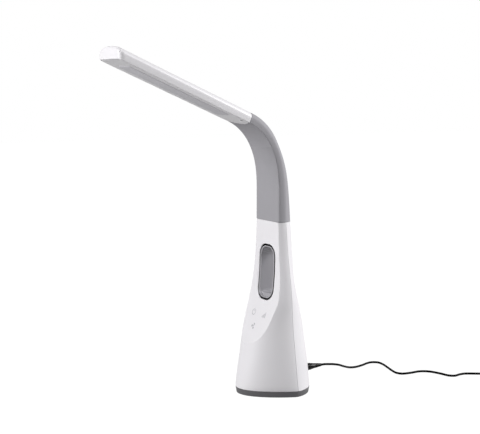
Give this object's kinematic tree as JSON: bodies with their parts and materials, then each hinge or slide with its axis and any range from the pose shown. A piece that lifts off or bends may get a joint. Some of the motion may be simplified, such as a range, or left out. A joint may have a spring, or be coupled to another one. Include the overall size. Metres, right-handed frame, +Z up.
{
  "type": "led table lamp",
  "caption": "Desk lamp with a long flat light head on a bendable neck, an oval tapering tower with a through-flow fan window, and a plug-in power cord.",
  "frame": {"origin": "on the desk under the middle of the base, at the centre of the foot pad's underside", "axes": "+Z up, -Y towards the front, where the head reaches out and the keys are, +X to the right as seen from the front"},
  "size_m": [0.2083, 0.652, 0.4354],
  "materials": {
    "white_shell": "satin",
    "grey_sleeve": "soft matte",
    "grey_tray": "fine matte",
    "grey_liner": "satin",
    "black_rubber": "matte",
    "black_plastic": "satin",
    "cord_black": "smooth",
    "green_board": "matte",
    "white_board": "matte",
    "steel": "plain",
    "cast_ballast": "plain",
    "frosted_lens": "frosted",
    "white_reflector": "satin"
  },
  "bodies": {
    "tower": {"front_shell": "white_shell", "rear_shell": "white_shell", "air_liner": "grey_liner", "base_tray": "grey_tray", "fan_deck": "grey_tray", "fan_duct": "grey_tray", "neck_socket": "grey_tray", "foot_pad": "black_rubber", "ballast_plate": "cast_ballast", "base_screw_0": "steel", "base_screw_1": "steel", "base_screw_2": "steel", "base_screw_3": "steel", "main_board": "green_board", "touch_board": "green_board", "power_jack": "black_plastic", "fan_motor": "steel", "neck_sleeve_0": "grey_sleeve", "gooseneck_section_0": "steel", "dc_plug": "black_plastic", "plug_barrel": "steel", "cord": "cord_black", "cord_coil": "cord_black", "cord_tail": "cord_black", "wall_adapter": "black_plastic", "adapter_blade_0": "steel", "adapter_blade_1": "steel"},
    "neck_1": {"neck_sleeve_1": "grey_sleeve", "gooseneck_section_1": "steel"},
    "neck_2": {"neck_sleeve_2": "grey_sleeve", "gooseneck_section_2": "steel"},
    "neck_3": {"neck_sleeve_3": "grey_sleeve", "gooseneck_section_3": "steel"},
    "head": {"neck_sleeve_4": "grey_sleeve", "gooseneck_section_4": "steel", "head_shell": "white_shell", "head_underside": "white_shell", "diffuser": "frosted_lens", "reflector": "white_reflector", "light_board": "white_board", "head_bracket": "grey_tray", "head_screw": "steel"},
    "rotor": {"impeller": "black_plastic", "motor_shaft": "steel"}
  },
  "joints": [
    {"name": "neck_joint_1", "type": "hinge", "parent": "tower", "child": "neck_1", "pos_m": [0, 0.00474, 0.24494], "axis": [1, 0, 0], "range_deg": [-15, 15]},
    {"name": "neck_joint_2", "type": "hinge", "parent": "neck_1", "child": "neck_2", "pos_m": [0, 0.00249, 0.27592], "axis": [1, 0, 0], "range_deg": [-17, 12]},
    {"name": "neck_joint_3", "type": "hinge", "parent": "neck_2", "child": "neck_3", "pos_m": [0, -0.00586, 0.30518], "axis": [1, 0, 0], "range_deg": [-20, 10]},
    {"name": "neck_joint_4", "type": "hinge", "parent": "neck_3", "child": "head", "pos_m": [0, -0.02138, 0.33174], "axis": [1, 0, 0], "range_deg": [-17, 10]},
    {"name": "impeller_spin", "type": "hinge", "parent": "tower", "child": "rotor", "pos_m": [0, 0.008, 0.076], "axis": [0, 0, 1], "continuous": true}
  ]
}
